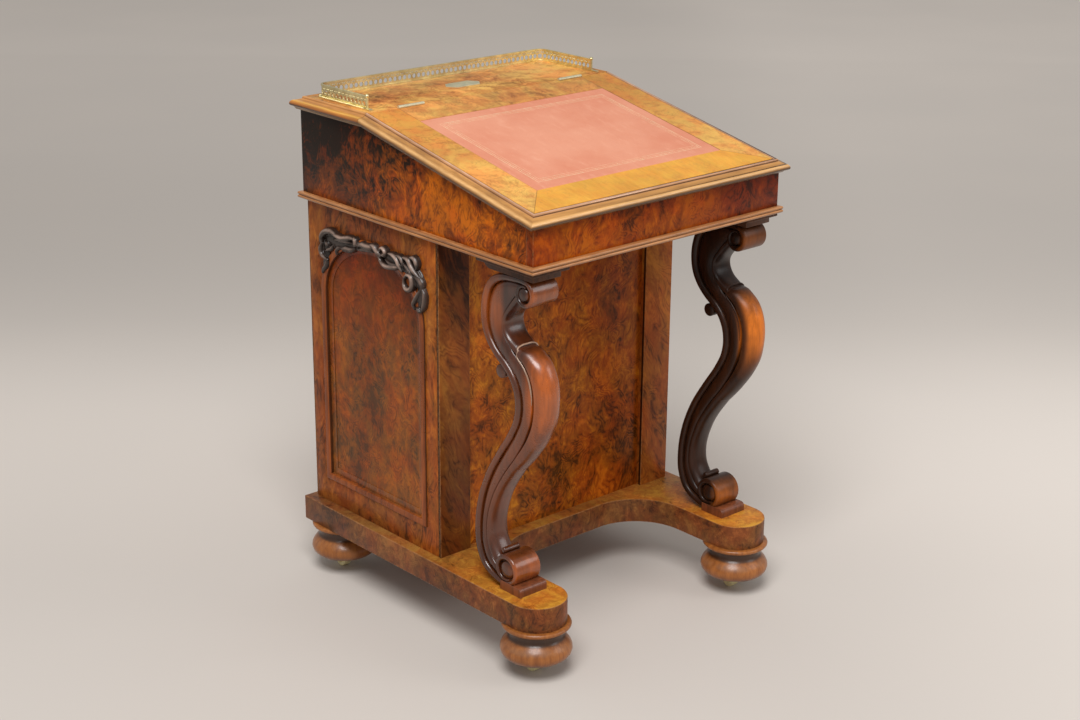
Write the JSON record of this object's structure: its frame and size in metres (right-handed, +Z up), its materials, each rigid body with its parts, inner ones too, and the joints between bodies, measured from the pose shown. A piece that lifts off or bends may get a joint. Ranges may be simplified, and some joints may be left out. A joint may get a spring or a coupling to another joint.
{
  "type": "davenport writing desk",
  "caption": "Victorian walnut davenport: sloping leather-lined lid, brass gallery, side drawers, carved scroll supports and concealed castors.",
  "frame": {"origin": "on the floor, midway between the four feet", "axes": "+X to the sitter's right, towards the drawers; +Y away from the sitter; +Z up"},
  "size_m": [0.5773, 0.6254, 0.8698],
  "materials": {
    "walnut_burr": "polished figured burr walnut",
    "walnut_veneer": "polished straight-grained walnut veneer",
    "golden_veneer": "faded golden burr veneer, polished",
    "walnut_moulding": "polished moulded walnut",
    "carved_walnut": "carved walnut, dark gloss polish",
    "turned_walnut": "turned walnut, polished",
    "drawer_lining": "plain mahogany drawer lining, waxed",
    "satinwood": "light satin figured wood",
    "turned_knob_wood": "small turned walnut knobs",
    "leather": "coral red hide with gilt tooled border",
    "brass": "aged polished brass"
  },
  "bodies": {
    "carcass": {"plinth": "walnut_burr", "bun_feet": "turned_walnut", "castor_sockets": "brass", "knee_stiles": "walnut_veneer", "back_stiles": "walnut_veneer", "knee_panel": "walnut_burr", "back_panel": "walnut_burr", "false_door_frame": "walnut_veneer", "false_door_panel": "walnut_burr", "false_door_moulding": "walnut_moulding", "false_door_carving": "carved_walnut", "drawer_side_stiles": "walnut_veneer", "drawer_dividers": "walnut_veneer", "support_right": "carved_walnut", "support_left": "carved_walnut", "support_caps": "carved_walnut", "support_base_blocks": "carved_walnut", "case_floor": "walnut_veneer", "case_floor_moulding": "walnut_moulding", "case_side_right": "walnut_burr", "case_side_left": "walnut_burr", "case_apron": "walnut_burr", "case_back": "walnut_veneer", "flat_top": "golden_veneer", "flat_top_moulding": "walnut_moulding", "lid_hinge_case_leaves": "brass", "lid_hinge_pins": "brass", "gallery_rails": "brass", "gallery_fret": "brass", "gallery_posts": "brass", "top_plaque": "brass", "interior_nest": "satinwood"},
    "lid": {"lid_board": "golden_veneer", "lid_moulding": "walnut_moulding", "lid_leather": "leather", "lid_hinge_lid_leaves": "brass"},
    "drawer_1": {"drawer_1_front": "walnut_veneer", "drawer_1_box": "drawer_lining", "drawer_1_knobs": "turned_walnut"},
    "drawer_2": {"drawer_2_front": "walnut_veneer", "drawer_2_box": "drawer_lining", "drawer_2_knobs": "turned_walnut"},
    "drawer_3": {"drawer_3_front": "walnut_veneer", "drawer_3_box": "drawer_lining", "drawer_3_knobs": "turned_walnut"},
    "drawer_4": {"drawer_4_front": "walnut_veneer", "drawer_4_box": "drawer_lining", "drawer_4_knobs": "turned_walnut"},
    "nest_drawer_left": {"nest_drawer_left": "satinwood", "nest_knob_left": "turned_knob_wood"},
    "nest_drawer_right": {"nest_drawer_right": "satinwood", "nest_knob_right": "turned_knob_wood"},
    "castor_front_left": {"castor_fork_front_left": "brass"},
    "wheel_front_left": {"castor_wheel_front_left": "brass"},
    "castor_front_right": {"castor_fork_front_right": "brass"},
    "wheel_front_right": {"castor_wheel_front_right": "brass"},
    "castor_back_left": {"castor_fork_back_left": "brass"},
    "wheel_back_left": {"castor_wheel_back_left": "brass"},
    "castor_back_right": {"castor_fork_back_right": "brass"},
    "wheel_back_right": {"castor_wheel_back_right": "brass"}
  },
  "joints": [
    {"name": "lid_hinge", "type": "hinge", "parent": "carcass", "child": "lid", "pos_m": [0, 0.12, 0.84583], "axis": [-1, 0, 0], "range_deg": [0, 100]},
    {"name": "drawer_1_slide", "type": "slide", "parent": "carcass", "child": "drawer_1", "axis": [1, 0, 0], "range_m": [0, 0.33]},
    {"name": "drawer_2_slide", "type": "slide", "parent": "carcass", "child": "drawer_2", "axis": [1, 0, 0], "range_m": [0, 0.33]},
    {"name": "drawer_3_slide", "type": "slide", "parent": "carcass", "child": "drawer_3", "axis": [1, 0, 0], "range_m": [0, 0.33]},
    {"name": "drawer_4_slide", "type": "slide", "parent": "carcass", "child": "drawer_4", "axis": [1, 0, 0], "range_m": [0, 0.33]},
    {"name": "nest_drawer_left_slide", "type": "slide", "parent": "carcass", "child": "nest_drawer_left", "axis": [0, -1, 0], "range_m": [0, 0.1]},
    {"name": "nest_drawer_right_slide", "type": "slide", "parent": "carcass", "child": "nest_drawer_right", "axis": [0, -1, 0], "range_m": [0, 0.1]},
    {"name": "castor_front_left_swivel", "type": "hinge", "parent": "carcass", "child": "castor_front_left", "pos_m": [-0.2305, -0.2545, 0.036], "axis": [0, 0, 1], "continuous": true},
    {"name": "wheel_front_left_roll", "type": "hinge", "parent": "castor_front_left", "child": "wheel_front_left", "pos_m": [-0.2305, -0.2485, 0.013], "axis": [1, 0, 0], "continuous": true},
    {"name": "castor_front_right_swivel", "type": "hinge", "parent": "carcass", "child": "castor_front_right", "pos_m": [0.2305, -0.2545, 0.036], "axis": [0, 0, 1], "continuous": true},
    {"name": "wheel_front_right_roll", "type": "hinge", "parent": "castor_front_right", "child": "wheel_front_right", "pos_m": [0.2305, -0.2485, 0.013], "axis": [1, 0, 0], "continuous": true},
    {"name": "castor_back_left_swivel", "type": "hinge", "parent": "carcass", "child": "castor_back_left", "pos_m": [-0.2305, 0.2545, 0.036], "axis": [0, 0, 1], "continuous": true},
    {"name": "wheel_back_left_roll", "type": "hinge", "parent": "castor_back_left", "child": "wheel_back_left", "pos_m": [-0.2305, 0.2605, 0.013], "axis": [1, 0, 0], "continuous": true},
    {"name": "castor_back_right_swivel", "type": "hinge", "parent": "carcass", "child": "castor_back_right", "pos_m": [0.2305, 0.2545, 0.036], "axis": [0, 0, 1], "continuous": true},
    {"name": "wheel_back_right_roll", "type": "hinge", "parent": "castor_back_right", "child": "wheel_back_right", "pos_m": [0.2305, 0.2605, 0.013], "axis": [1, 0, 0], "continuous": true}
  ]
}
